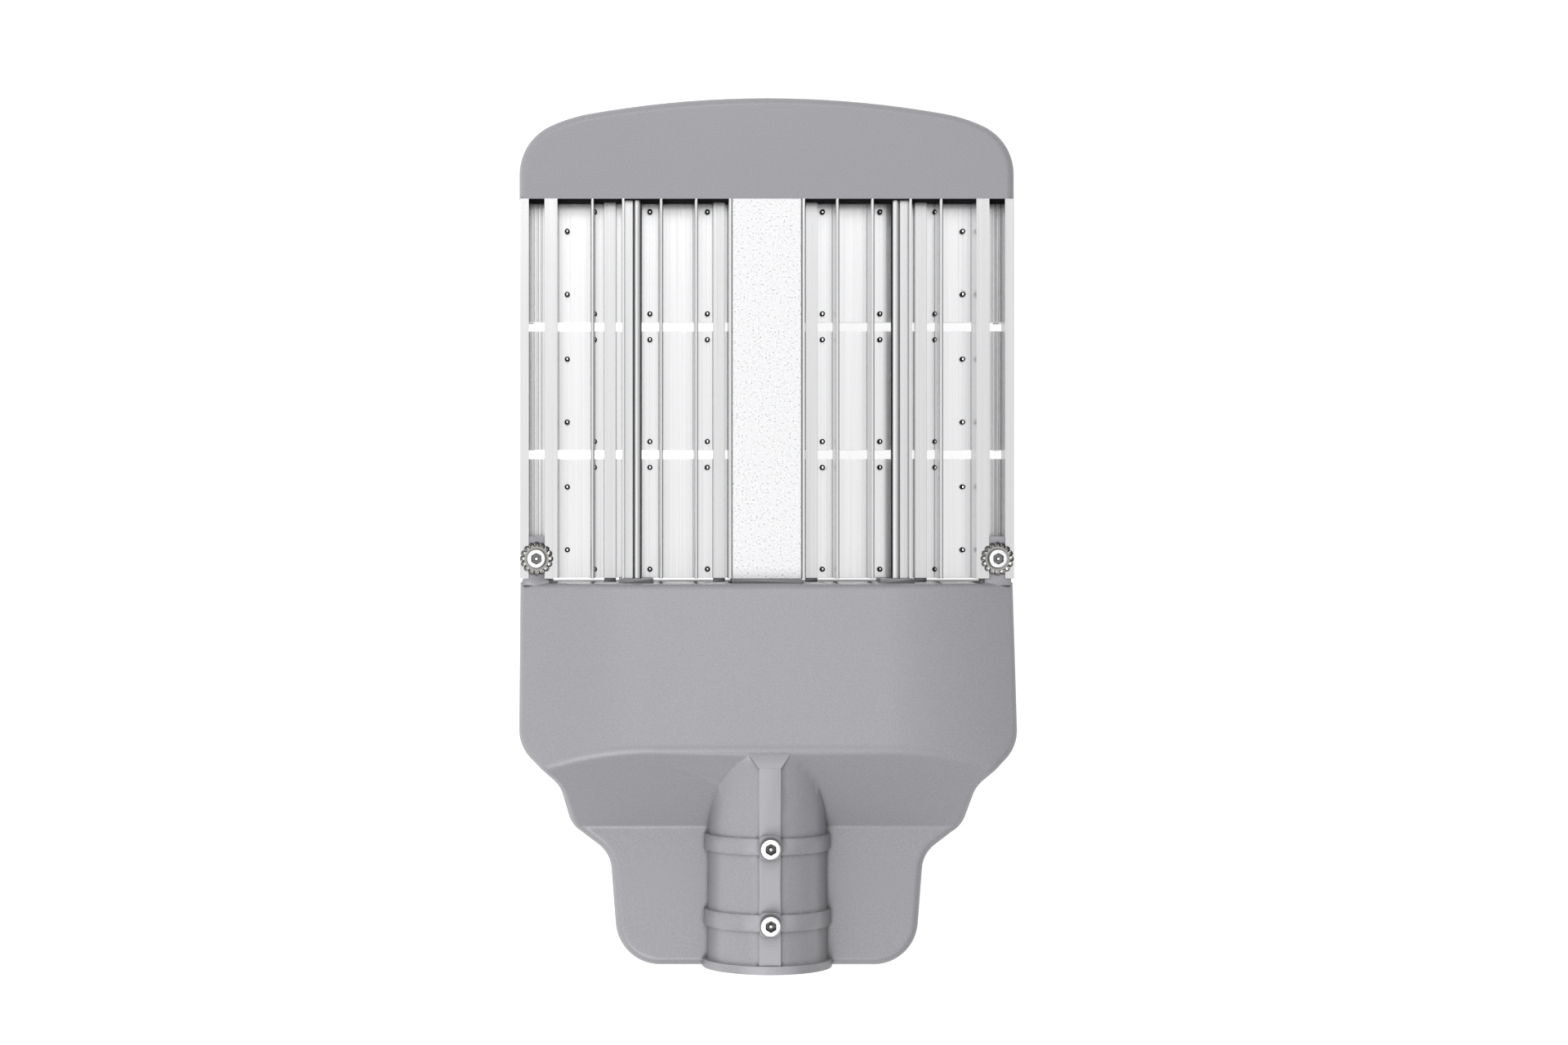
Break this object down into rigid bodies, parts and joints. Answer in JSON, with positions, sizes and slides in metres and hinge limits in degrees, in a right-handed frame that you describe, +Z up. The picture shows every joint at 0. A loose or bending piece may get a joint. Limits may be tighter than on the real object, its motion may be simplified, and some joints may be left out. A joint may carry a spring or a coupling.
{
  "type": "led street light head",
  "caption": "Flat street lamp head: finned twin extrusions between a cast front cap and a cast rear housing with a round arm socket, LED lens modules below.",
  "frame": {"origin": "on the axis of the arm socket, at its mouth", "axes": "+Y along the lamp from the socket's mouth to the front cap, +X across it, +Z up to the sky; the lenses face -Z"},
  "size_m": [0.3014, 0.528, 0.095],
  "materials": {
    "cast_paint": "fine-textured grey powder coat on die-cast aluminium",
    "extruded_aluminium": "clear anodised extrusion, satin, with fine lines along its length",
    "blasted_aluminium": "blasted and anodised, matt and finely speckled",
    "stainless_screw": "plain stainless steel, bright",
    "lens_plastic": "clear moulded optical plastic",
    "seal_rubber": "black silicone rubber",
    "board_white": "white solder mask on an aluminium board",
    "tray_steel": "zinc-plated sheet",
    "driver_case": "anodised case",
    "gear_plastic": "dark grey moulded plastic"
  },
  "bodies": {
    "root": {"rear_housing": "cast_paint", "front_cap": "cast_paint", "driver_cover": "cast_paint", "heatsink_left": "extruded_aluminium", "heatsink_right": "extruded_aluminium", "wireway": "extruded_aluminium", "wireway_cover": "blasted_aluminium", "arm_bolt_front": "stainless_screw", "arm_bolt_rear": "stainless_screw", "side_bolt_left": "stainless_screw", "side_bolt_right": "stainless_screw", "tooth_washer_left": "stainless_screw", "tooth_washer_right": "stainless_screw", "end_screws_front": "stainless_screw", "end_screws_rear": "stainless_screw", "cover_screws": "stainless_screw", "tray_screws": "stainless_screw", "module_screws": "stainless_screw", "lens_plate_left_1": "lens_plastic", "lens_plate_left_2": "lens_plastic", "lens_plate_left_3": "lens_plastic", "lens_plate_right_1": "lens_plastic", "lens_plate_right_2": "lens_plastic", "lens_plate_right_3": "lens_plastic", "lens_gasket_left_1": "seal_rubber", "lens_gasket_left_2": "seal_rubber", "lens_gasket_left_3": "seal_rubber", "lens_gasket_right_1": "seal_rubber", "lens_gasket_right_2": "seal_rubber", "lens_gasket_right_3": "seal_rubber", "cover_gasket": "seal_rubber", "arm_grommet": "seal_rubber", "led_board_left_1": "board_white", "led_board_left_2": "board_white", "led_board_left_3": "board_white", "led_board_right_1": "board_white", "led_board_right_2": "board_white", "led_board_right_3": "board_white", "gear_tray": "tray_steel", "driver": "driver_case", "terminal_block": "gear_plastic", "surge_protector": "gear_plastic", "wireway_gland": "gear_plastic"}
  },
  "joints": []
}
